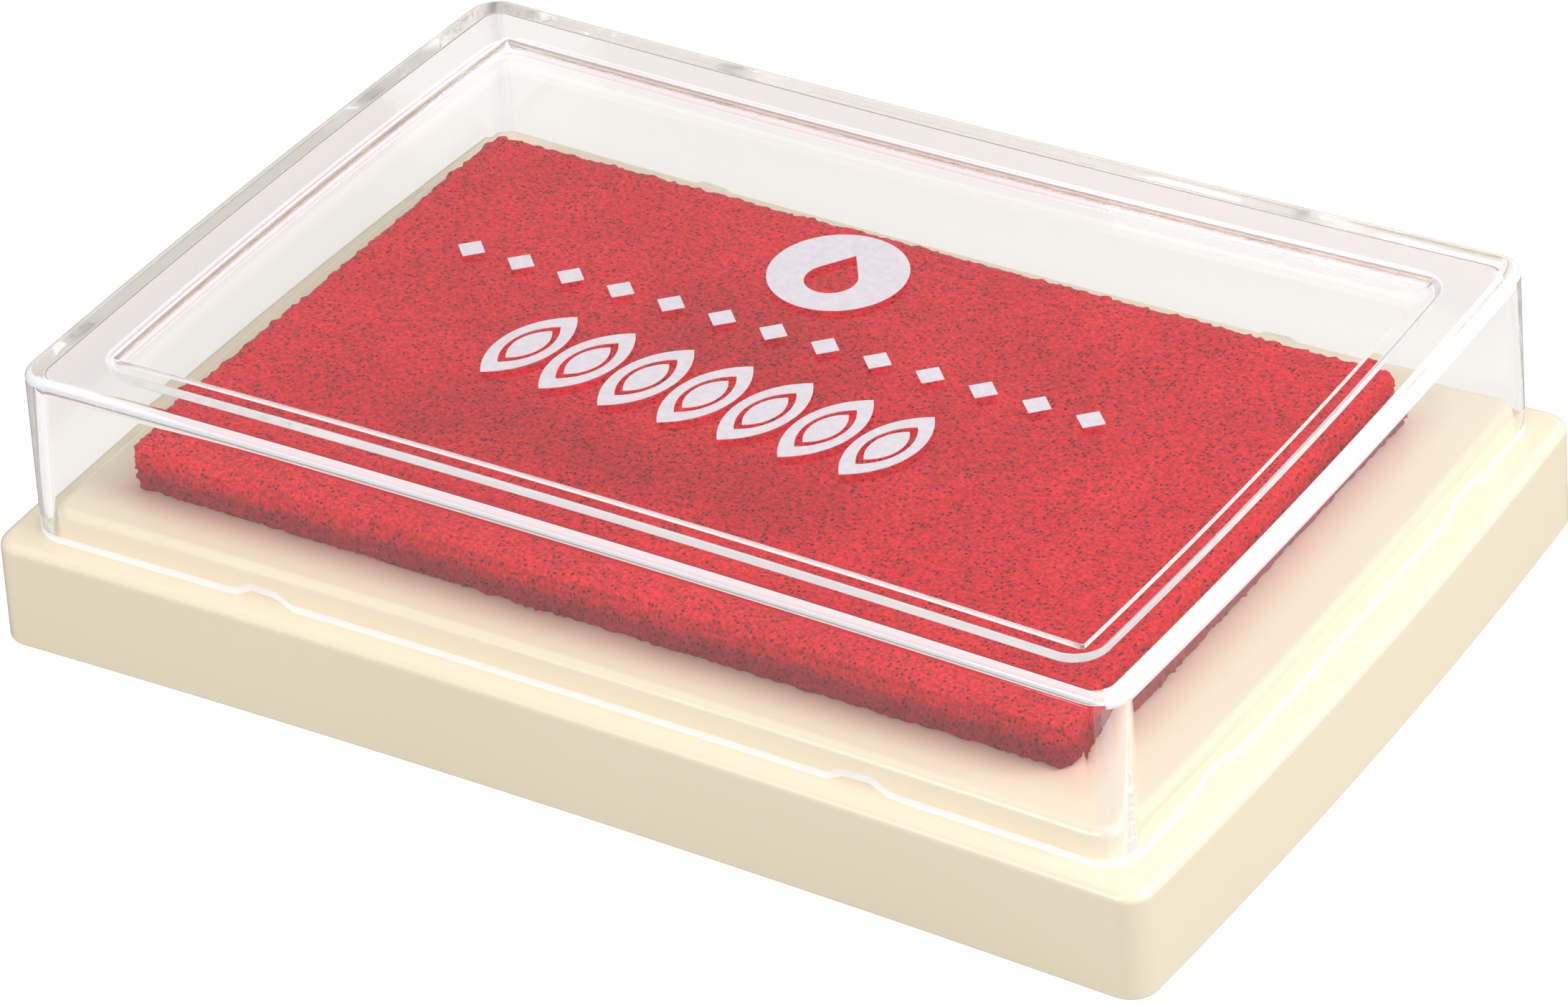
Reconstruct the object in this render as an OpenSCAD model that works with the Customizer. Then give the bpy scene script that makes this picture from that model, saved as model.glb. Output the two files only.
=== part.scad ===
// Ink pad for rubber stamps: a foam pad on a shallow moulded tray, under a clear lid that
// lifts straight off. The long sides run along X, the rear is +Y and +Z is up. The origin is
// the middle of the footprint, on the surface that the tray stands on.

/* [Tray] */
// Length of the tray between its corners
tray_l = 96; // [90:1:104]
// Width of the tray between its corners
tray_w = 66.6; // [62:0.2:74]
// Height of the ledge that the lid stands on
ledge_h = 8.6; // [7:0.1:11]
// Radius of the tray's upright corners
tray_corner_r = 2; // [1.6:0.1:4]
// Radius of the soft edge along the top of the skirt
tray_edge_r = 0.8; // [0.4:0.1:1.2]
// How far the skirt leans out between its top and its foot
tray_draft = 0.2; // [0.1:0.05:0.4]
// Thickness of the skirt and of the top plate
tray_wall = 1.6; // [1.2:0.1:2]
// How far the short ends swell outward at their middle
tray_end_bow = 0.9; // [0.1:0.1:1.2]
// How far the long sides pull inward at their middle
tray_side_bow = 0.9; // [0.1:0.1:1.2]

/* [Platform] */
// Height of the platform above the ledge
platform_h = 2.4; // [1.5:0.1:3.5]
// Radius of the platform's top edge
platform_edge_r = 0.8; // [0.4:0.1:1.2]
// Thickness of the ribs under the platform
rib_t = 1.2; // [0.8:0.1:2]
// Depth of the ribs under the platform
rib_h = 5; // [3:0.1:6]

/* [Foam pad] */
// Length of the foam
foam_l = 78.6; // [70:0.2:82]
// Width of the foam
foam_w = 48.4; // [44:0.2:52]
// Thickness of the foam
foam_h = 3.6; // [2:0.1:5]
// Radius of the foam's upright corners
foam_corner_r = 1.3; // [1.2:0.1:3]
// Radius of the foam's upper edge
foam_edge_r = 0.8; // [0.3:0.1:1.2]
// How far the foam was stuck down to the left of the middle
foam_shift_x = 0.8; // [0:0.1:1.2]
// How far the foam was stuck down in front of the middle
foam_shift_y = 0.8; // [0:0.1:1.2]
// Thickness of the adhesive sheet under the foam
adhesive_t = 0.2; // [0.15:0.05:0.4]
// How far the adhesive sheet stops short of the foam's edge
adhesive_inset = 1; // [0.5:0.1:3]

/* [Lid] */
// Width of the ledge outside the lid, at the short ends
ledge_end = 2.2; // [1.8:0.1:3]
// Width of the ledge outside the lid, along the long sides
ledge_side = 1.8; // [1.6:0.1:3]
// Height of the lid
lid_h = 13.9; // [12:0.1:18]
// Thickness of the lid's walls
lid_wall = 1.15; // [1:0.05:1.3]
// How far the lid's walls lean in between the rim and the top
lid_draft = 0.35; // [0.1:0.05:0.5]
// Radius of the lid's upright corners
lid_corner_r = 2.4; // [1.9:0.1:4]
// Radius of the lid's top edge
lid_edge_r = 0.55; // [0.3:0.05:0.8]
// How far the lid's short ends swell outward at their middle
lid_end_bow = 0.6; // [0.1:0.1:1]
// How far the lid's long sides pull inward at their middle
lid_side_bow = 0.7; // [0.1:0.1:1]
// Length of each small notch in the rim
notch_l = 4.9; // [3:0.1:7]
// Height of each small notch in the rim
notch_h = 0.85; // [0.4:0.05:1.2]
// Distance of the long sides' notches from the middle
notch_x = 25; // [15:0.5:35]
// Distance of the short ends' notches from the middle
notch_y = 19; // [8:0.5:24]

/* [Lid panel] */
// Width of the border between the lid's top edge and the sunk panel
panel_border = 5.25; // [4:0.05:8]
// Depth of the sunk panel
panel_depth = 1.3; // [0.6:0.05:2]
// Radius of the sunk panel's corners
panel_r = 0.3; // [0.2:0.1:3]
// Thickness of the plastic under the panel
panel_t = 0.9; // [0.8:0.05:1.4]
// Thickness of the step round the panel
step_t = 0.85; // [0.5:0.05:1.2]
// Radius of the step's corners, seen from inside the lid
step_r = 2.4; // [1:0.1:3]

/* [Print] */
// Diameter of the round badge
badge_d = 10.6; // [7:0.2:14]
// Distance of the badge from the middle of the panel
badge_y = 9.1; // [6:0.1:12]
// Number of diamonds in the small row
diamonds = 13; // [5:2:17]
// Width of the small row
diamond_row_l = 52.6; // [40:0.2:64]
// Number of leaves in the large row
leaves = 7; // [3:2:9]
// Width of the large row
leaf_row_l = 34.6; // [24:0.2:44]
// Height of a leaf
leaf_h = 9.6; // [6:0.2:12]
// Distance of the large row in front of the middle of the panel
leaf_row_y = 9.3; // [7:0.1:11]

/* [Hidden] */

// Steps round a corner, along a side and over a rounded edge
corner_steps = 8;
side_steps = 10;
edge_steps = 4;

// An outline: half its length, half its width, the swell of its ends, the swell of its sides
tray_form = [tray_l / 2, tray_w / 2, tray_end_bow, -tray_side_bow];
lid_form = [tray_l / 2 - ledge_end, tray_w / 2 - ledge_side, lid_end_bow, -lid_side_bow];
foam_form = [foam_l / 2, foam_w / 2, 0, 0];

// The platform stands inside the lid's wall with a little air between them
lid_air = 0.35;
platform_gap = lid_wall + lid_air;
platform_r = lid_corner_r - platform_gap / 2;
platform_top = ledge_h + platform_h;
hollow_top = platform_top - tray_wall;
hollow_r = platform_r / 2;
rib_end = 0.6;
skirt_inner_r = tray_corner_r / 2;

foam_base = platform_top + adhesive_t;
foam_place = [-foam_shift_x, -foam_shift_y, foam_base];

// The rim rests on the ledge with a hair of air under it
seat_air = 0.05;
rim_z = ledge_h + seat_air;
lid_top = rim_z + lid_h;
ceiling_z = lid_top - lid_wall;
ceiling_r = 0.4;
lid_inner_r = lid_corner_r - lid_wall;
panel_floor = lid_top - panel_depth;
panel_under = panel_floor - panel_t;
notch_flat = 0.43;
notch_top_l = notch_l * notch_flat;

// Each mark's size as a share of its place in the print
print_t = 0.05;
print_steps = 96;
diamond_side = 1.7;
leaf_share = 0.9;
leaf_w = leaf_row_l / leaves * leaf_share;
leaf_lean = 14;
inline_outer = 0.65;
inline_inner = 0.48;
drop_share = 0.19;
drop_r = badge_d * drop_share;
drop_tip_share = 0.34;
drop_tip = badge_d * drop_tip_share;

// A cutter or a rib runs this far past the face that it meets
past = 1;

// Points of a rounded rectangle, from the right front corner round to the front side
function corner_side(q) = [[1, -1], [1, 1], [-1, 1], [-1, -1]][q];
function corner_point(a, b, r, q, i) =
    let (turn = 90 * (q - 1 + i / corner_steps), s = corner_side(q))
    [s[0] * (a - r) + r * cos(turn), s[1] * (b - r) + r * sin(turn)];
function corner_points(a, b, r, q) =
    [for (i = [0:corner_steps]) corner_point(a, b, r, q, i)];
function side_points(a, b, r, q, steps) =
    let (first = corner_point(a, b, r, q, corner_steps))
    let (last = corner_point(a, b, r, (q + 1) % 4, 0))
    [for (i = [1:1:steps - 1]) first + (last - first) * i / steps];
function outline(a, b, r, steps) =
    [for (q = [0:3]) each concat(corner_points(a, b, r, q), side_points(a, b, r, q, steps))];

// Moves a point of the outline so that the ends and the sides swell at their middle
function bowed(p, a, b, form, z) = [
    p[0] * (1 + form[2] / a * (1 - pow(p[1] / b, 2))),
    p[1] * (1 + form[3] / b * (1 - pow(p[0] / a, 2))),
    z
];

// One level ring: the form drawn in by gap all round, with corners of radius r, at height z
function ring(form, gap, r, z, steps = side_steps) =
    let (a = form[0] - gap, b = form[1] - gap)
    [for (p = outline(a, b, r, steps)) bowed(p, a, b, form, z)];

// The rings of a rounded edge that turns from an upright wall into a level top
function edge_rings(form, gap, r, top, edge_r, steps = side_steps) = [
    for (i = [0:edge_steps])
        let (turn = 90 * i / edge_steps, back = edge_r * (1 - cos(turn)))
        ring(form, gap + back, r - back, top - edge_r * (1 - sin(turn)), steps)
];

// Closed skin over a list of rings, which starts with a face that looks down
module loft(rings) {
    count = len(rings[0]);
    last = (len(rings) - 1) * count;
    walls = [
        for (k = [0:len(rings) - 2])
            for (j = [0:count - 1])
                let (low = k * count, high = low + count, next = (j + 1) % count)
                [low + j, high + j, high + next, low + next]
    ];
    under = [for (j = [0:count - 1]) j];
    over = [for (j = [count - 1:-1:0]) last + j];
    polyhedron(points = [for (r = rings) each r], faces = concat([under], walls, [over]));
}

// Tray: an open-bottomed moulding with a ledge all round and a platform for the foam
module tray() {
    inner = platform_gap + tray_wall;
    foot = tray_wall - tray_draft;
    color("ivory") {
        loft(concat(
            [
                ring(lid_form, inner, hollow_r, hollow_top),
                ring(lid_form, inner, hollow_r, ledge_h - tray_wall),
                ring(tray_form, tray_wall, skirt_inner_r, ledge_h - tray_wall),
                ring(tray_form, foot, skirt_inner_r, 0),
                ring(tray_form, -tray_draft, tray_corner_r, 0)
            ],
            edge_rings(tray_form, 0, tray_corner_r, ledge_h, tray_edge_r),
            [ring(lid_form, platform_gap, platform_r, ledge_h)],
            edge_rings(lid_form, platform_gap, platform_r, platform_top, platform_edge_r)
        ));
        rib([2 * (lid_form[0] - inner - rib_end), rib_t]);
        rib([rib_t, 2 * (lid_form[1] - inner - lid_side_bow - rib_end)]);
    }
}

module rib(size) {
    translate([-size[0] / 2, -size[1] / 2, hollow_top - rib_h])
        cube([size[0], size[1], rib_h + past / 2]);
}

// Adhesive sheet: double-sided film that holds the foam down
module adhesive_sheet() {
    size = [foam_l - 2 * adhesive_inset, foam_w - 2 * adhesive_inset, adhesive_t];
    color("wheat")
        translate([-foam_shift_x - size[0] / 2, -foam_shift_y - size[1] / 2, platform_top])
            cube(size);
}

// Foam pad: the inked block, with softened upper edges
module foam_pad() {
    color("crimson")
        translate(foam_place)
            loft(concat(
                [ring(foam_form, 0, foam_corner_r, 0, 1)],
                edge_rings(foam_form, 0, foam_corner_r, foam_h, foam_edge_r, 1)
            ));
}

// Lid: a clear box with its open side down and a sunk panel in its top
module lid() {
    inner = lid_wall + lid_draft;
    sunk = panel_border + lid_draft;
    step = sunk - step_t;
    color("azure", 0.4)
        difference() {
            loft(concat(
                [
                    ring(lid_form, step, step_r, panel_under),
                    ring(lid_form, step, step_r, ceiling_z),
                    ring(lid_form, inner + ceiling_r, lid_inner_r, ceiling_z),
                    ring(lid_form, inner, lid_inner_r, ceiling_z - ceiling_r),
                    ring(lid_form, lid_wall, lid_inner_r, rim_z),
                    ring(lid_form, 0, lid_corner_r, rim_z)
                ],
                edge_rings(lid_form, lid_draft, lid_corner_r, lid_top, lid_edge_r),
                [
                    ring(lid_form, sunk, panel_r, lid_top),
                    ring(lid_form, sunk, panel_r, panel_floor)
                ]
            ));
            for (side = [-1, 1]) {
                translate([side * notch_x, 0, rim_z])
                    notch(tray_w);
                translate([0, side * notch_y, rim_z])
                    rotate([0, 0, 90])
                        notch(tray_l);
            }
        }
}

// Cutter for a pair of rim notches that face each other across the lid
module notch(reach) {
    rotate([90, 0, 0])
        linear_extrude(height = reach + 2 * past, center = true)
            polygon([
                [-notch_l / 2, -past],
                [notch_l / 2, -past],
                [notch_l / 2, 0],
                [notch_top_l / 2, notch_h],
                [-notch_top_l / 2, notch_h],
                [-notch_l / 2, 0]
            ]);
}

// Print: a thin layer of white ink on the floor of the sunk panel
module lid_print() {
    color("white")
        translate([0, 0, panel_floor])
            linear_extrude(height = print_t) {
                translate([0, badge_y])
                    badge();
                row(diamonds, diamond_row_l)
                    rotate(45)
                        square(diamond_side, center = true);
                translate([0, -leaf_row_y])
                    row(leaves, leaf_row_l - leaf_w)
                        rotate(-leaf_lean)
                            leaf();
            }
}

// Copies of one mark, spread evenly over a length
module row(count, length) {
    for (i = [0:count - 1])
        translate([length * (i / (count - 1) - 0.5), 0])
            children();
}

// Disc with an ink drop left open in it
module badge() {
    difference() {
        circle(d = badge_d, $fn = print_steps);
        translate([0, -drop_r / 2])
            drop();
    }
}

module drop() {
    tilt = acos(drop_r / drop_tip);
    circle(r = drop_r, $fn = print_steps / 2);
    polygon([
        [0, drop_tip],
        [-drop_r * sin(tilt), drop_r * cos(tilt)],
        [drop_r * sin(tilt), drop_r * cos(tilt)]
    ]);
}

// Leaf with a fine line left open a little way inside its edge
module leaf() {
    difference() {
        lens(leaf_w, leaf_h);
        lens(leaf_w * inline_outer, leaf_h * inline_outer);
    }
    lens(leaf_w * inline_inner, leaf_h * inline_inner);
}

// Pointed shape between two arcs, w wide and h high
module lens(w, h) {
    arc_r = (h * h + w * w) / (4 * w);
    intersection() {
        lens_arc(arc_r, w, -1);
        lens_arc(arc_r, w, 1);
    }
}

module lens_arc(arc_r, w, side) {
    translate([side * (arc_r - w / 2), 0])
        circle(r = arc_r, $fn = print_steps);
}

tray();
adhesive_sheet();
foam_pad();
lid();
lid_print();
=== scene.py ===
import math
from collections import namedtuple

import bmesh
import bpy
from mathutils import Matrix, Vector, noise


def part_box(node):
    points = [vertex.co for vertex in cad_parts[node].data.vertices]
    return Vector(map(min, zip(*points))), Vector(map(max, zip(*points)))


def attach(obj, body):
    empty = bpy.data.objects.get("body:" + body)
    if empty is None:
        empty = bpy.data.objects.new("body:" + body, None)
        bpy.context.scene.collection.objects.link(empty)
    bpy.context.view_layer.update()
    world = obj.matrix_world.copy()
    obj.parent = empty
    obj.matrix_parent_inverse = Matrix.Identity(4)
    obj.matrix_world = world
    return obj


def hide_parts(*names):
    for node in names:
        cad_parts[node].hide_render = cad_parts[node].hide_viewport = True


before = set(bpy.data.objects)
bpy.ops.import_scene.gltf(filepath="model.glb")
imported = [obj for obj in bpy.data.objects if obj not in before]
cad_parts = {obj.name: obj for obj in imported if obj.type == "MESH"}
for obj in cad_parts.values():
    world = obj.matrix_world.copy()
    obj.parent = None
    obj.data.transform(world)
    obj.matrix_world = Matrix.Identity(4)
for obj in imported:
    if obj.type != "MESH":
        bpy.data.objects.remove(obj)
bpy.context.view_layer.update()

MM = 0.001

# ---------------------------------------------------------------- sizes, in millimetres
# Outlines: half the length and half the width between corners, then how far the short ends
# swell outward and the long sides swell outward (negative: they pull inward) at their middle.
Form = namedtuple("Form", "half_l half_w end_bow side_bow")
TRAY_FORM = Form(48.0, 33.3, 0.9, -0.9)
LID_FORM = Form(45.8, 31.5, 0.6, -0.7)

TRAY_CORNER_R = 2.0
TRAY_EDGE_R = 0.8
TRAY_DRAFT = 0.2
TRAY_WALL = 1.6
TRAY_SOFT_R = 0.4
TRAY_CRISP_R = 0.15
HOLLOW_CORNER_R = 0.6
HOLLOW_MOUTH_CORNER_R = 1.0
SKIRT_CORNER_R = 0.7
SKIRT_FOOT_CORNER_R = 1.0
LEDGE_H = 8.6
PLATFORM_GAP = 1.5
PLATFORM_EDGE_R = 0.8
PLATFORM_CORNER_R = 1.65
RIB_T = 1.2
RIB_H = 5.0
RIB_END = 0.6
RIB_SINK = 0.5
RIB_STAGGER = 0.02

FOAM_CORNER_R = 0.9
FOAM_TOP_CORNER_R = 0.4
FOAM_EDGE_R = 0.5
FOAM_VOXEL = 0.28
# How far the foam's sides draw in at their top and bottom, and its waves as (height, length)
FOAM_PINCH = 0.15
FOAM_WAVES = ((0.28, 7.0), (0.12, 2.2))
FOAM_CRUMBS = ((0.36, 0.6), (0.34, 0.36))
FOAM_TOP_CRUMB_SHARE = 0.03
# How far the painted pink glow reaches out from the foam
PAD_GLOW_W = 2.6

LID_WALL = 1.15
LID_DRAFT = 0.35
LID_CORNER_R = 2.4
LID_EDGE_R = 0.55
LID_CRISP_R = 0.12
CORNER_START_SHARE = 0.2
RIM_R = 0.3
# How far up the rim and how far in over the walls the painted edge highlight reaches
RIM_BAND = 0.8
EDGE_BAND = 1.05
CEILING_R = 0.4
PANEL_INSET = 5.6
PANEL_DEPTH = 1.3
PANEL_T = 0.9
PANEL_CORNER_R = 0.35
STEP_INSET = 4.75
STEP_CORNER_R = 2.4
STEP_EDGE_R = 0.3
NOTCH_X = 25.0
NOTCH_Y = 19.0
NOTCH_L = 4.9
NOTCH_TOP_L = 2.1
NOTCH_H = 0.85
PRINT_SEAT = 0.01

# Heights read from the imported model
PLATFORM_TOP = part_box("tray")[1].z / MM
LID_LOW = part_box("lid")[0].z / MM
LID_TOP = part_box("lid")[1].z / MM
foam_low, foam_high = (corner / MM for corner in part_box("foam_pad"))
FOAM_FORM = Form((foam_high.x - foam_low.x) / 2, (foam_high.y - foam_low.y) / 2, 0.0, 0.0)

SMALLEST_R = 0.2
CORNER_STEPS = 10
ARC_STEPS = 6
EVEN_STEPS = 24
# An even step nearer than this share of a step to a notch's bend is left out
BEND_ROOM = 0.4
SHARP_ANGLE = math.radians(32)

# The lid's material slots, in the order in which it gets them. The last three paint highlights:
# white edges, a faint haze at the upright corners and cream along the far edges
PLAIN, EDGE, CORNER, FAR = range(4)


# ---------------------------------------------------------------- outlines and lofts
def even_steps():
    """Places along a side, as fractions of its straight part."""
    return [i / EVEN_STEPS for i in range(1, EVEN_STEPS)]


def notched_steps(straight, middle):
    """Even steps along a side, with an exact step at each bend of its two rim notches."""
    ends = (NOTCH_L / 2, NOTCH_TOP_L / 2)
    bends = [s * middle + t * e for s in (-1, 1) for t in (-1, 1) for e in ends]
    exact = [0.5 + bend / straight for bend in bends]
    room = BEND_ROOM / EVEN_STEPS
    spread = [f for f in even_steps() if all(abs(f - e) > room for e in exact)]
    return sorted(spread + exact)


def outline(form, inset, radius, z, steps):
    """One level ring of points: the form drawn in by inset, with rounded corners."""
    a, b = form.half_l - inset, form.half_w - inset
    corners = ((a - radius, radius - b), (a - radius, b - radius),
               (radius - a, b - radius), (radius - a, radius - b))
    flat = []
    for k, (x, y) in enumerate(corners):
        for i in range(CORNER_STEPS + 1):
            turn = math.radians(90 * (k - 1 + i / CORNER_STEPS))
            flat.append((x + radius * math.cos(turn), y + radius * math.sin(turn)))
        turn = math.radians(90 * k)
        nx, ny = corners[(k + 1) % 4]
        reach = Vector((math.cos(turn), math.sin(turn))) * radius
        start, end = Vector((x, y)) + reach, Vector((nx, ny)) + reach
        flat += [tuple(start.lerp(end, f)) for f in steps[k % 2]]
    return [
        Vector((
            x * (1 + form.end_bow / a * (1 - (y / b) ** 2)),
            y * (1 + form.side_bow / b * (1 - (x / a) ** 2)),
            z,
        ))
        for x, y in flat
    ]


def arc(inset, z, radius, start, stop):
    """(inset, z) points of a fillet round a centre; 0 degrees points inward and 90 up."""
    turns = [math.radians(start + (stop - start) * i / ARC_STEPS) for i in range(ARC_STEPS + 1)]
    return [(inset + radius * math.cos(t), z + radius * math.sin(t)) for t in turns]


def follow(form, corner_r, points, steps):
    """Rings through (inset, z) points; their corners tighten as they draw in."""
    start = points[0][0]
    return [
        outline(form, inset, max(corner_r - (inset - start), SMALLEST_R), z, steps)
        for inset, z in points
    ]


def loft(bm, rings, edge_bands=()):
    """Closed skin over rings of points, in millimetres: a floor, walls and a roof.

    The bands numbered in edge_bands take the material slot for edges, which paints a white
    highlight.
    """
    layers = [[bm.verts.new(p * MM) for p in ring] for ring in rings]
    for band, (low, high) in enumerate(zip(layers, layers[1:])):
        for j in range(len(low)):
            n = (j + 1) % len(low)
            face = bm.faces.new((low[j], low[n], high[n], high[j]))
            face.material_index = EDGE if band in edge_bands else PLAIN
    bm.faces.new(reversed(layers[0]))
    bm.faces.new(layers[-1])


def mesh_object(name, bm):
    """A new object in the scene with the mesh that was built."""
    bmesh.ops.recalc_face_normals(bm, faces=bm.faces)
    mesh = bpy.data.meshes.new(name)
    bm.to_mesh(mesh)
    bm.free()
    piece = bpy.data.objects.new(name, mesh)
    bpy.context.scene.collection.objects.link(piece)
    return piece


def shade(piece):
    """Smooth shading that keeps flat faces flat and hard edges hard."""
    piece.data.shade_smooth()
    piece.data.set_sharp_from_angle(angle=SHARP_ANGLE)
    weighted = piece.modifiers.new("weighted", "WEIGHTED_NORMAL")
    weighted.keep_sharp = True


# ---------------------------------------------------------------- materials
def new_material(name):
    """A material with its node tree and its main shader."""
    material = bpy.data.materials.new(name)
    material.use_nodes = True
    return material, material.node_tree, material.node_tree.nodes["Principled BSDF"]


def add(tree, kind, settings=None, **inputs):
    """A node of one kind, with its own settings and the values of its inputs."""
    node = tree.nodes.new(kind)
    for key, value in (settings or {}).items():
        setattr(node, key, value)
    for key, value in inputs.items():
        node.inputs[key.replace("_", " ")].default_value = value
    return node


def ramp(tree, factor, stops):
    """A colour ramp over a factor; stops are (position, colour)."""
    node = tree.nodes.new("ShaderNodeValToRGB")
    elements = node.color_ramp.elements
    while len(elements) < len(stops):
        elements.new(0.5)
    for element, (position, colour) in zip(elements, stops):
        element.position = position
        element.color = (*colour, 1.0)
    tree.links.new(factor, node.inputs["Fac"])
    return node.outputs["Color"]


def plug(tree, value, socket):
    """Feeds a socket with another node's output or with a fixed value."""
    if isinstance(value, bpy.types.NodeSocket):
        tree.links.new(value, socket)
    else:
        socket.default_value = value


def math_node(tree, operation, first, second=0.0):
    """One arithmetic step on sockets or numbers."""
    node = add(tree, "ShaderNodeMath", {"operation": operation})
    plug(tree, first, node.inputs[0])
    plug(tree, second, node.inputs[1])
    return node.outputs["Value"]


def rescale(tree, value, from_low, from_high, to_low=0.0, to_high=1.0):
    """A value moved from one range to another, and held inside it."""
    node = add(tree, "ShaderNodeMapRange",
               From_Min=from_low, From_Max=from_high, To_Min=to_low, To_Max=to_high)
    tree.links.new(value, node.inputs["Value"])
    return node.outputs["Result"]


def mix(tree, first, second, factor, blend="MIX"):
    """Two colours mixed by a factor, in the given way."""
    node = add(tree, "ShaderNodeMix", {"data_type": "RGBA", "blend_type": blend})
    # The node's sockets for colours are the inputs 6 and 7 and the output 2
    plug(tree, factor, node.inputs[0])
    plug(tree, first, node.inputs[6])
    plug(tree, second, node.inputs[7])
    return node.outputs[2]


def multiply(tree, first, second, factor=1.0):
    """Two colours multiplied, wholly or by a factor."""
    return mix(tree, first, second, factor, "MULTIPLY")


def own_place(tree):
    """Each point's place in the piece's own coordinates, in metres."""
    return tree.nodes.new("ShaderNodeTexCoord").outputs["Object"]


def own_axes(tree):
    """The same place split into its X, Y and Z."""
    node = tree.nodes.new("ShaderNodeSeparateXYZ")
    tree.links.new(own_place(tree), node.inputs["Vector"])
    return node.outputs


def grain(tree, scale, detail=3.0):
    """Noise over the piece's own coordinates; scale is in waves per metre."""
    node = add(tree, "ShaderNodeTexNoise", Scale=scale, Detail=detail, Roughness=0.55)
    tree.links.new(own_place(tree), node.inputs["Vector"])
    return node.outputs["Fac"]


def cells(tree, scale):
    """Voronoi cells over the piece's own coordinates; scale is in cells per metre."""
    node = add(tree, "ShaderNodeTexVoronoi", Scale=scale)
    tree.links.new(own_place(tree), node.inputs["Vector"])
    return node


def bump(tree, height, strength, distance, normal=None):
    """A bumped normal, on top of another one if given."""
    node = add(tree, "ShaderNodeBump", Strength=strength, Distance=distance)
    tree.links.new(height, node.inputs["Height"])
    if normal is not None:
        tree.links.new(normal, node.inputs["Normal"])
    return node.outputs["Normal"]


def beyond_foam(tree):
    """How far a point lies outside the foam's outline, in metres."""
    axes = own_axes(tree)
    middle = (foam_low + foam_high) / 2 * MM
    half = (foam_high - foam_low) / 2 * MM
    past = []
    for axis, centre, reach in zip("XY", middle, half):
        away = math_node(tree, "ABSOLUTE", math_node(tree, "SUBTRACT", axes[axis], centre))
        past.append(math_node(tree, "SUBTRACT", away, reach))
    return math_node(tree, "MAXIMUM", *past)


def ivory_plastic():
    """Soft gloss ivory, with a painted pink glow on the platform round the foam that stands in for
    the red light the foam throws there.
    """
    material, tree, shader = new_material("ivory_plastic")
    tone = ramp(tree, grain(tree, 30, 1),
                [(0.3, (0.87, 0.768, 0.59)), (0.7, (0.885, 0.783, 0.605))])
    # Painted reflection: the platform turns pink near the foam, for the red light the foam throws
    # on it
    glow_pink = ramp(tree, grain(tree, 300), [(0.3, (0.84, 0.36, 0.32)), (0.7, (0.86, 0.46, 0.38))])
    fade = rescale(tree, beyond_foam(tree), 0.0, PAD_GLOW_W * MM, 0.45, 0.0)
    edge_low = (PLATFORM_TOP - PLATFORM_EDGE_R) * MM
    on_platform = math_node(tree, "GREATER_THAN", own_axes(tree)["Z"], edge_low)
    painted_glow = math_node(tree, "MULTIPLY", fade, on_platform)
    tree.links.new(mix(tree, tone, glow_pink, painted_glow), shader.inputs["Base Color"])
    gloss = rescale(tree, grain(tree, 120), 0.3, 0.7, 0.20, 0.23)
    tree.links.new(gloss, shader.inputs["Roughness"])
    skin = bump(tree, grain(tree, 1400, 3), 0.15, 0.01 * MM)
    tree.links.new(skin, shader.inputs["Normal"])
    return material


def adhesive_film():
    """Waxy double-sided film."""
    material, tree, shader = new_material("adhesive_film")
    tone = ramp(tree, grain(tree, 400), [(0.3, (0.78, 0.70, 0.56)), (0.7, (0.84, 0.78, 0.64))])
    tree.links.new(tone, shader.inputs["Base Color"])
    tree.links.new(bump(tree, grain(tree, 1500), 0.3, 0.03 * MM), shader.inputs["Normal"])
    shader.inputs["Roughness"].default_value = 0.5
    return material


def inked_foam():
    """Wet open-cell foam: painted shade in some of its pores, bright cell walls, and a darker
    lower half at its sides.
    """
    material, tree, shader = new_material("inked_foam")
    pores = cells(tree, 3000)
    fine = cells(tree, 5200)
    blotches = ramp(tree, grain(tree, 120, 4),
                    [(0.30, (0.62, 0.006, 0.015)), (0.55, (0.71, 0.009, 0.020)),
                     (0.80, (0.79, 0.023, 0.022))])
    # Painted shade: some of the pores get dark middles, for the shade inside them
    hollow = ramp(tree, pores.outputs["Distance"], [(0.22, (0.10,) * 3), (0.50, (1.0,) * 3)])
    lottery = tree.nodes.new("ShaderNodeSeparateColor")
    tree.links.new(pores.outputs["Color"], lottery.inputs["Color"])
    chosen = rescale(tree, lottery.outputs["Red"], 0.50, 0.72)
    skin = multiply(tree, blotches, hollow, chosen)
    mottle = ramp(tree, grain(tree, 3400, 1), [(0.35, (0.68,) * 3), (0.65, (1.24,) * 3)])
    skin = multiply(tree, skin, mottle)
    # The colour grows darker towards the bottom of the foam
    rise = rescale(tree, own_axes(tree)["Z"], foam_low.z * MM, foam_high.z * MM)
    low_darkening = ramp(tree, rise,
                  [(0.0, (0.38, 0.25, 0.35)), (0.38, (0.44, 0.30, 0.40)),
                   (0.66, (0.88, 0.40, 0.55)), (0.86, (0.92, 0.45, 0.60)), (0.95, (1.0,) * 3)])
    skin = multiply(tree, skin, low_darkening)
    tree.links.new(skin, shader.inputs["Base Color"])
    rough = bump(tree, fine.outputs["Distance"], 0.35, 0.05 * MM)
    rough = bump(tree, pores.outputs["Distance"], 0.4, 0.08 * MM, rough)
    tree.links.new(rough, shader.inputs["Normal"])
    shader.inputs["Roughness"].default_value = 0.42
    shader.inputs["Specular IOR Level"].default_value = 0.06
    return material


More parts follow.
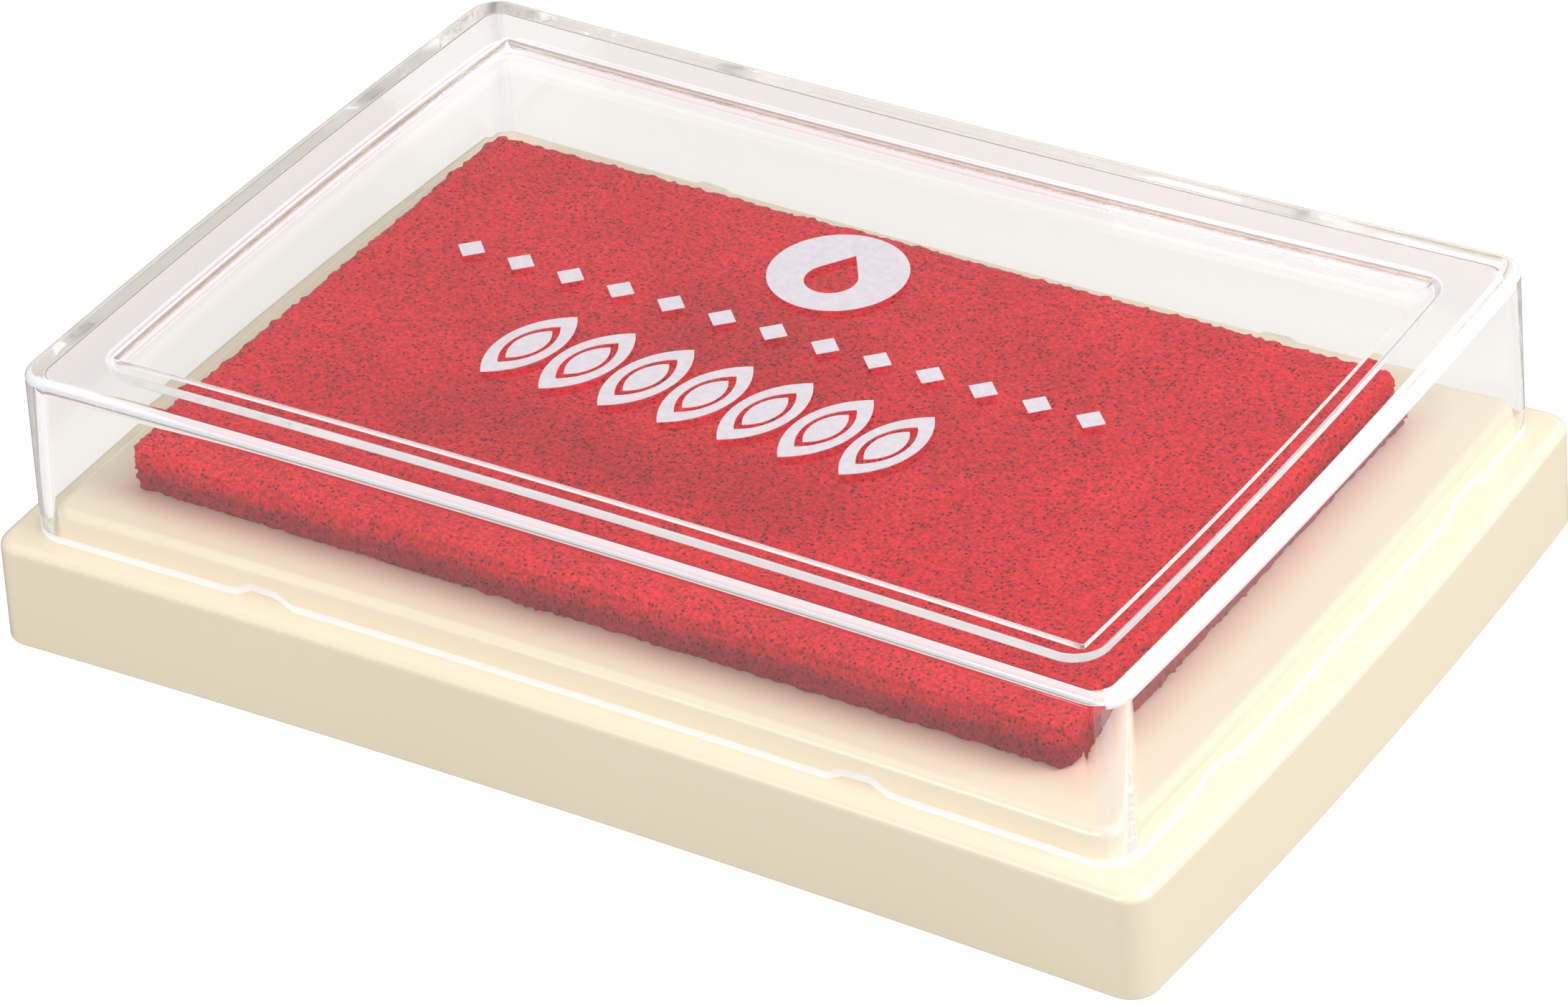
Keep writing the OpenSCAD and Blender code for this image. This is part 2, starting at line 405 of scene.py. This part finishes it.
def clear_plastic(name="clear_plastic", clarity=0.995, tint=(0.995, 0.985, 0.97, 1.0)):
    """Clear polystyrene. Rays from lamps and from matt surfaces go straight through it."""
    material, tree, shader = new_material(name)
    shader.inputs["Base Color"].default_value = tint
    shader.inputs["Transmission Weight"].default_value = clarity
    shader.inputs["Roughness"].default_value = 0.0
    shader.inputs["IOR"].default_value = 1.55
    tree.links.new(bump(tree, grain(tree, 35, 1), 0.12, 0.05 * MM), shader.inputs["Normal"])
    path = tree.nodes.new("ShaderNodeLightPath").outputs
    lit = math_node(tree, "MAXIMUM", path["Is Shadow Ray"], path["Is Diffuse Ray"])
    through = add(tree, "ShaderNodeBsdfTransparent", Color=(0.99, 0.99, 0.99, 1.0))
    blend = tree.nodes.new("ShaderNodeMixShader")
    tree.links.new(lit, blend.inputs["Fac"])
    tree.links.new(shader.outputs["BSDF"], blend.inputs[1])
    tree.links.new(through.outputs["BSDF"], blend.inputs[2])
    tree.links.new(blend.outputs["Shader"], tree.nodes["Material Output"].inputs["Surface"])
    return material


def clear_plastic_edge():
    """The same plastic where it is rounded, made mostly scatter: a painted white highlight for the
    light piped to an edge.
    """
    return clear_plastic("clear_plastic_edge", 0.3, (0.965, 0.965, 1.0, 1.0))


def clear_plastic_corner():
    """The same plastic at the upright corners, with a faint scatter: a painted white haze for the
    light the rounded corners bend.
    """
    return clear_plastic("clear_plastic_corner", 0.86, (0.95, 0.94, 0.96, 1.0))


def clear_plastic_far():
    """The same plastic along the far edges, half scatter in cream: a painted highlight for the
    tray's light that the walls pipe up to them.
    """
    return clear_plastic("clear_plastic_far", 0.6, (0.94, 0.92, 0.87, 1.0))


def white_print():
    """The white ink of the print, a little uneven."""
    material, tree, shader = new_material("white_print")
    tone = ramp(tree, grain(tree, 1800), [(0.3, (0.66, 0.61, 0.66)), (0.7, (0.74, 0.69, 0.73))])
    tree.links.new(tone, shader.inputs["Base Color"])
    tree.links.new(bump(tree, grain(tree, 3000), 0.2, 0.01 * MM), shader.inputs["Normal"])
    shader.inputs["Roughness"].default_value = 0.45
    return material


def floor_paint():
    """Matt paint that glows to the eye, a little less through the lid, not in reflections."""
    material, tree, shader = new_material("floor_paint")
    tone = ramp(tree, grain(tree, 3), [(0.3, (0.21, 0.21, 0.21)), (0.7, (0.23, 0.23, 0.23))])
    tree.links.new(tone, shader.inputs["Base Color"])
    shader.inputs["Roughness"].default_value = 0.9
    shader.inputs["Specular IOR Level"].default_value = 0.1
    shader.inputs["Emission Color"].default_value = (1.0, 1.0, 1.0, 1.0)
    path = tree.nodes.new("ShaderNodeLightPath").outputs
    through = math_node(tree, "MULTIPLY", path["Is Transmission Ray"], 0.82)
    seen = math_node(tree, "MAXIMUM", path["Is Camera Ray"], through)
    tree.links.new(seen, shader.inputs["Emission Strength"])
    material.cycles.emission_sampling = "NONE"
    return material


# ---------------------------------------------------------------- pieces
def make_tray():
    """The tray, as one skin from the ceiling of its hollow round to its platform, with ribs."""
    inner = PLATFORM_GAP + TRAY_WALL
    hollow_top = PLATFORM_TOP - TRAY_WALL
    under_ledge = LEDGE_H - TRAY_WALL
    foot = TRAY_WALL - TRAY_DRAFT
    soft, crisp = TRAY_SOFT_R, TRAY_CRISP_R
    hollow_ceiling = arc(inner + soft, hollow_top - soft, soft, 90, 180)
    hollow_mouth = arc(inner - crisp, under_ledge + crisp, crisp, 0, -90)
    skirt_inside = arc(TRAY_WALL + soft, under_ledge - soft, soft, 90, 180)
    foot_inside = arc(foot - crisp, crisp, crisp, 0, -90)
    foot_outside = arc(crisp - TRAY_DRAFT, crisp, crisp, 270, 180)
    ledge_edge = arc(TRAY_EDGE_R, LEDGE_H - TRAY_EDGE_R, TRAY_EDGE_R, 180, 90)
    platform_foot = arc(PLATFORM_GAP - crisp, LEDGE_H + crisp, crisp, 270, 360)
    platform_edge = arc(PLATFORM_GAP + PLATFORM_EDGE_R, PLATFORM_TOP - PLATFORM_EDGE_R,
                        PLATFORM_EDGE_R, 180, 90)
    steps = (even_steps(), even_steps())
    rings = [
        *follow(LID_FORM, HOLLOW_CORNER_R, hollow_ceiling, steps),
        *follow(LID_FORM, HOLLOW_MOUTH_CORNER_R, hollow_mouth, steps),
        *follow(TRAY_FORM, SKIRT_CORNER_R, skirt_inside, steps),
        *follow(TRAY_FORM, SKIRT_FOOT_CORNER_R, foot_inside, steps),
        *follow(TRAY_FORM, TRAY_CORNER_R, foot_outside, steps),
        *follow(TRAY_FORM, TRAY_CORNER_R, ledge_edge, steps),
        *follow(LID_FORM, PLATFORM_CORNER_R, platform_foot, steps),
        *follow(LID_FORM, PLATFORM_CORNER_R, platform_edge, steps),
    ]
    bm = bmesh.new()
    loft(bm, rings)

    long_rib = 2 * (LID_FORM.half_l - inner - RIB_END)
    short_rib = 2 * (LID_FORM.half_w - inner + LID_FORM.side_bow - RIB_END)
    # The ribs run up into the platform and end at slightly different depths, so that no two
    # faces share a plane where they cross
    ribs = ((long_rib, RIB_T, RIB_H), (RIB_T, short_rib, RIB_H - RIB_STAGGER))
    for size_x, size_y, depth in ribs:
        size = Vector((size_x, size_y, depth + RIB_SINK)) * MM
        middle = Vector((0, 0, (hollow_top + RIB_SINK) * MM - size.z / 2))
        place = Matrix.Translation(middle) @ Matrix.Diagonal((*size, 1))
        rib = bmesh.ops.create_cube(bm, size=1, matrix=place)
        edges = {e for v in rib["verts"] for e in v.link_edges}
        bmesh.ops.bevel(bm, geom=list(edges), offset=crisp * MM, segments=2, affect="EDGES")
    piece = mesh_object("tray_body", bm)
    shade(piece)
    return piece


def make_lid():
    """The clear lid, as one skin from the underside of its panel round to the panel's floor."""
    ceiling = LID_TOP - LID_WALL
    floor = LID_TOP - PANEL_DEPTH - PRINT_SEAT
    under = LID_TOP - PANEL_DEPTH - PANEL_T
    wall_top = LID_WALL + LID_DRAFT
    inner_corner_r = LID_CORNER_R - LID_WALL
    soft, crisp = STEP_EDGE_R, LID_CRISP_R
    steps = (
        notched_steps(2 * (LID_FORM.half_w - LID_CORNER_R), NOTCH_Y),
        notched_steps(2 * (LID_FORM.half_l - LID_CORNER_R), NOTCH_X),
    )
    rings = []
    edge_bands = set()

    def extend(corner_r, points, edges=0):
        """Adds rings; the first bands made from here, as many as edges says, are rounded edge."""
        edge_bands.update(range(len(rings), len(rings) + edges))
        rings.extend(follow(LID_FORM, corner_r, points, steps))

    edge, edge_and_wall = ARC_STEPS, ARC_STEPS + 1
    extend(STEP_CORNER_R, arc(STEP_INSET + soft, under + soft, soft, 270, 180), edge_and_wall)
    extend(STEP_CORNER_R, arc(STEP_INSET - soft, ceiling - soft, soft, 0, 90), edge)
    extend(inner_corner_r, arc(wall_top + CEILING_R, ceiling - CEILING_R, CEILING_R, 90, 180))
    rim_start = len(rings)
    extend(inner_corner_r, arc(LID_WALL - crisp, LID_LOW + crisp, crisp, 0, -90), edge_and_wall)
    rim_side = arc(RIM_R, LID_LOW + RIM_R, RIM_R, 270, 180) + [(0.0, LID_LOW + RIM_BAND)]
    extend(LID_CORNER_R, rim_side, edge_and_wall)
    rim_stop = len(rings)
    top_side = arc(LID_DRAFT + LID_EDGE_R, LID_TOP - LID_EDGE_R, LID_EDGE_R, 180, 90)
    extend(LID_CORNER_R, top_side + [(EDGE_BAND, LID_TOP)], edge)
    extend(PANEL_CORNER_R, arc(PANEL_INSET - crisp, LID_TOP - crisp, crisp, 90, 0), edge)
    extend(PANEL_CORNER_R, arc(PANEL_INSET + crisp, floor + crisp, crisp, 180, 270))

    for ring in rings[rim_start:rim_stop]:
        for p in ring:
            p.z += notch_rise(p)
    bm = bmesh.new()
    loft(bm, rings, edge_bands)
    # Faces that get the painted highlights: hazy upright corners, cream far edges and white front
    # and right edges
    for face in bm.faces:
        middle = face.calc_center_median() / MM
        side = nearest_side(middle)
        over_wall = middle.z > LID_TOP - LID_EDGE_R and within_band(middle)
        if is_upright_corner(middle):
            face.material_index = CORNER
        elif over_wall and side in ("left", "rear"):
            face.material_index = FAR
        elif over_wall and side == "front":
            face.material_index = EDGE
        elif side == "right" and is_ceiling_fillet(middle):
            face.material_index = EDGE
    piece = mesh_object("lid_shell", bm)
    shade(piece)
    return piece


def is_upright_corner(p):
    """Whether a point lies on the middle of one of the lid's four rounded upright corners."""
    past_x = abs(p.x) - (LID_FORM.half_l - LID_CORNER_R)
    past_y = abs(p.y) - (LID_FORM.half_w - LID_CORNER_R)
    below_edge = LID_LOW + RIM_BAND < p.z < LID_TOP - LID_EDGE_R
    return below_edge and min(past_x, past_y) > CORNER_START_SHARE * LID_CORNER_R


def is_at_end_wall(p):
    """Whether a point lies in or close to one of the lid's two end walls."""
    return abs(p.x) > LID_FORM.half_l - 2 * LID_WALL


def is_ceiling_fillet(p):
    """Whether a point lies on the fillet between the lid's ceiling and its end walls."""
    ceiling = LID_TOP - LID_WALL
    return ceiling - CEILING_R < p.z < ceiling and is_at_end_wall(p)


def within_band(p):
    """Whether a point of the lid's top lies in the band over its walls."""
    in_x = LID_FORM.half_l + LID_FORM.end_bow * (1 - (p.y / LID_FORM.half_w) ** 2) - abs(p.x)
    in_y = LID_FORM.half_w + LID_FORM.side_bow * (1 - (p.x / LID_FORM.half_l) ** 2) - abs(p.y)
    return min(in_x, in_y) < EDGE_BAND


def nearest_side(p):
    """Which side of the lid a point is nearest to."""
    reach = {
        "left": p.x + LID_FORM.half_l,
        "right": LID_FORM.half_l - p.x,
        "front": p.y + LID_FORM.half_w,
        "rear": LID_FORM.half_w - p.y,
    }
    return min(reach, key=reach.get)


def notch_rise(p):
    """How far the rim is cut away at a point: up to NOTCH_H inside a notch, else nothing."""
    away = abs(abs(p.y) - NOTCH_Y) if is_at_end_wall(p) else abs(abs(p.x) - NOTCH_X)
    slope = (NOTCH_L / 2 - away) / (NOTCH_L / 2 - NOTCH_TOP_L / 2)
    return NOTCH_H * min(max(slope, 0.0), 1.0)


def ripple(p, waves):
    """Noise at a point, summed over waves of a height and a length."""
    return sum(height * noise.noise(p / length) for height, length in waves)


def make_foam():
    """The foam block: remeshed, then roughened as cut open-cell foam is."""
    middle = (foam_low + foam_high) / 2
    bm = bmesh.new()
    edge = arc(FOAM_EDGE_R, foam_high.z - FOAM_EDGE_R, FOAM_EDGE_R, 180, 90)
    profile = [(0.0, foam_low.z)] + edge
    steps = (even_steps(), even_steps())
    loft(bm, [
        outline(FOAM_FORM, inset, max(FOAM_CORNER_R - inset, FOAM_TOP_CORNER_R), z, steps)
        for inset, z in profile
    ])
    bmesh.ops.translate(bm, verts=bm.verts, vec=Vector((middle.x, middle.y, 0)) * MM)
    piece = mesh_object("foam_block", bm)
    cut = piece.modifiers.new("cells", "REMESH")
    cut.mode = "VOXEL"
    cut.voxel_size = FOAM_VOXEL * MM
    apply_modifiers(piece)

    height = foam_high.z - foam_low.z
    normals = [v.normal.copy() for v in piece.data.vertices]
    for v, normal in zip(piece.data.vertices, normals):
        p = v.co / MM
        upright = max(1 - abs(normal.z), 0.0)
        rise = (p.z - foam_low.z) / height
        swell = -FOAM_PINCH * abs(rise - 0.5)
        crumb_share = max(math.sqrt(upright), FOAM_TOP_CRUMB_SHARE)
        push = upright * (swell + ripple(p, FOAM_WAVES)) + crumb_share * ripple(p, FOAM_CRUMBS)
        moved = p + normal * push
        moved.z = max(moved.z, foam_low.z)
        v.co = moved * MM
    piece.data.shade_smooth()
    return piece


def apply_modifiers(piece):
    """Bakes the modifiers into the mesh."""
    depsgraph = bpy.context.evaluated_depsgraph_get()
    mesh = bpy.data.meshes.new_from_object(piece.evaluated_get(depsgraph))
    piece.modifiers.clear()
    piece.data = mesh


def dress(piece, slot, *materials):
    """Gives a new piece its materials."""
    for material in materials:
        piece.data.materials.append(material)


def dress_node(name, material):
    """Gives a CAD node's own object a better material."""
    for material_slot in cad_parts[name].material_slots:
        material_slot.material = material


tray = make_tray()
dress(tray, "ivory_plastic", ivory_plastic())
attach(tray, "base")
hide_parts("tray")

foam = make_foam()
dress(foam, "inked_foam", inked_foam())
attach(foam, "base")
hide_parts("foam_pad")

lid = make_lid()
dress(lid, "clear_plastic", clear_plastic(), clear_plastic_edge(), clear_plastic_corner(),
      clear_plastic_far())
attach(lid, "cover")
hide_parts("lid")

dress_node("adhesive_sheet", adhesive_film())
dress_node("lid_print", white_print())


# ---------------------------------------------------------------- floor, light and camera
FLOOR_SIZE = 6.0
FLOOR_DROP = 0.02 * MM
WORLD_STRENGTH = 0.4


def make_floor():
    """A wide level floor, a hair below the tray's foot."""
    bm = bmesh.new()
    bmesh.ops.create_grid(bm, x_segments=8, y_segments=8, size=FLOOR_SIZE / 2,
                          matrix=Matrix.Translation((0, 0, -FLOOR_DROP)))
    piece = mesh_object("floor", bm)
    piece.data.materials.append(floor_paint())
    return piece


def softbox(name, place, size, watts):
    """A square area light that faces the middle of the object's foot."""
    data = bpy.data.lights.new(name, "AREA")
    data.shape = "SQUARE"
    data.size = size
    data.energy = watts
    lamp = bpy.data.objects.new(name, data)
    lamp.location = place
    lamp.rotation_euler = (-Vector(place)).to_track_quat("-Z", "Y").to_euler()
    bpy.context.scene.collection.objects.link(lamp)


floor = make_floor()

softbox("key", (0.46, 0.14, 0.29), 0.36, 2.9)
softbox("top", (0.1, 0.3, 0.9), 0.5, 1.3)
softbox("fill", (-0.2, -0.96, 0.44), 0.55, 7.2)

world = bpy.data.worlds.new("studio")
world.use_nodes = True
background = world.node_tree.nodes["Background"]
background.inputs["Color"].default_value = (1.0, 1.0, 1.0, 1.0)
background.inputs["Strength"].default_value = WORLD_STRENGTH
bpy.context.scene.world = world
bpy.context.scene.view_settings.view_transform = "Standard"

# Light runs a long way inside the clear lid's walls before it leaves them
light_paths = bpy.context.scene.cycles
light_paths.max_bounces = 40
light_paths.glossy_bounces = 32
light_paths.transmission_bounces = 32
light_paths.transparent_max_bounces = 24

CAMERA_TURN = math.radians(33.64)
CAMERA_RISE = math.radians(33.52)
CAMERA_ROLL = math.radians(-3.97)
CAMERA_DISTANCE = 470.9 * MM
CAMERA_AIM = Vector((2.74, -4.27, 9.80)) * MM
CAMERA_LENS = 148.8
CAMERA_SENSOR_W = 36
CAMERA_CLIP_START = 0.02

away = Vector((
    math.sin(CAMERA_TURN) * math.cos(CAMERA_RISE),
    -math.cos(CAMERA_TURN) * math.cos(CAMERA_RISE),
    math.sin(CAMERA_RISE),
))
camera_data = bpy.data.cameras.new("camera")
camera_data.sensor_width = CAMERA_SENSOR_W
camera_data.lens = CAMERA_LENS
camera_data.clip_start = CAMERA_CLIP_START
camera = bpy.data.objects.new("camera", camera_data)
look = (-away).to_track_quat("-Z", "Y").to_matrix().to_4x4()
camera.matrix_world = (
    Matrix.Translation(CAMERA_AIM + away * CAMERA_DISTANCE)
    @ look
    @ Matrix.Rotation(CAMERA_ROLL, 4, "Z")
)
bpy.context.scene.collection.objects.link(camera)
bpy.context.scene.camera = camera
